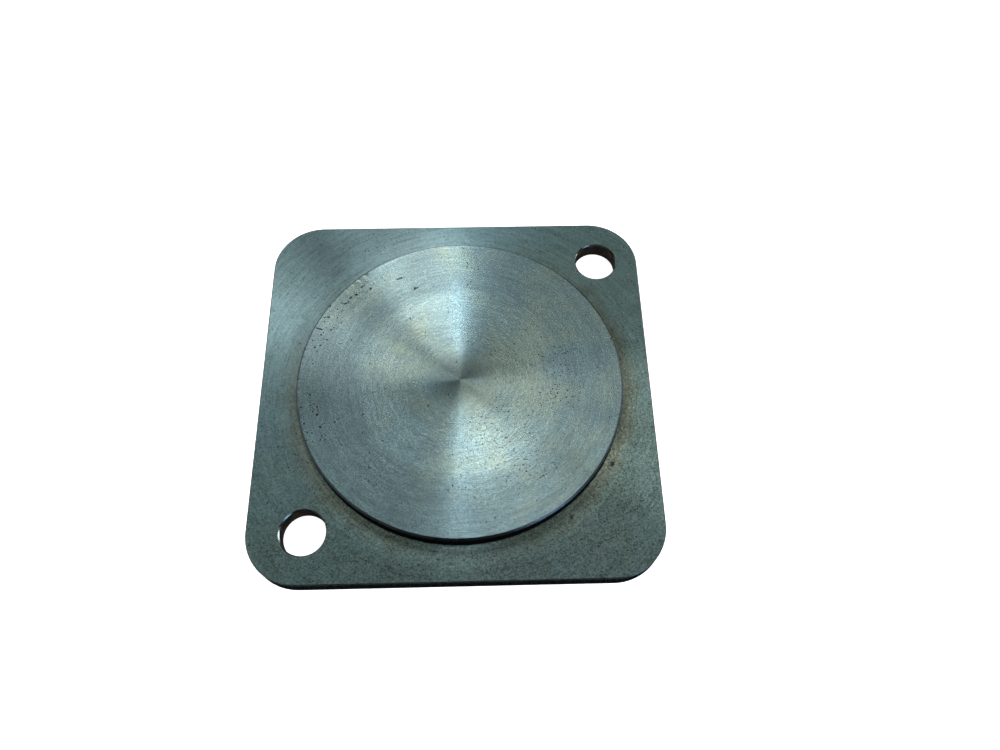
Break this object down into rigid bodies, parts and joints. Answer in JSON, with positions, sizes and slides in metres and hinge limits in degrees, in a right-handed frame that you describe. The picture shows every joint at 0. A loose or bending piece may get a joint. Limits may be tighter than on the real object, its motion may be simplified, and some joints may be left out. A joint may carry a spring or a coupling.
{
  "type": "blind flange",
  "caption": "Square blind flange in machined steel with a round pilot spigot and bolt holes on one diagonal, closing a pilot-located port.",
  "frame": {"origin": "middle of the plate's back face, which is the bottom of the object's box", "axes": "+Z out of the spigot, square to the plate; X and Y along the plate's sides, with a bolt hole in the +X +Y corner and one in the -X -Y corner"},
  "size_m": [0.1, 0.1, 0.009],
  "materials": {
    "machined_steel": "satin, turned on the front face"
  },
  "bodies": {
    "root": {"blind_flange": "machined_steel"}
  },
  "joints": []
}
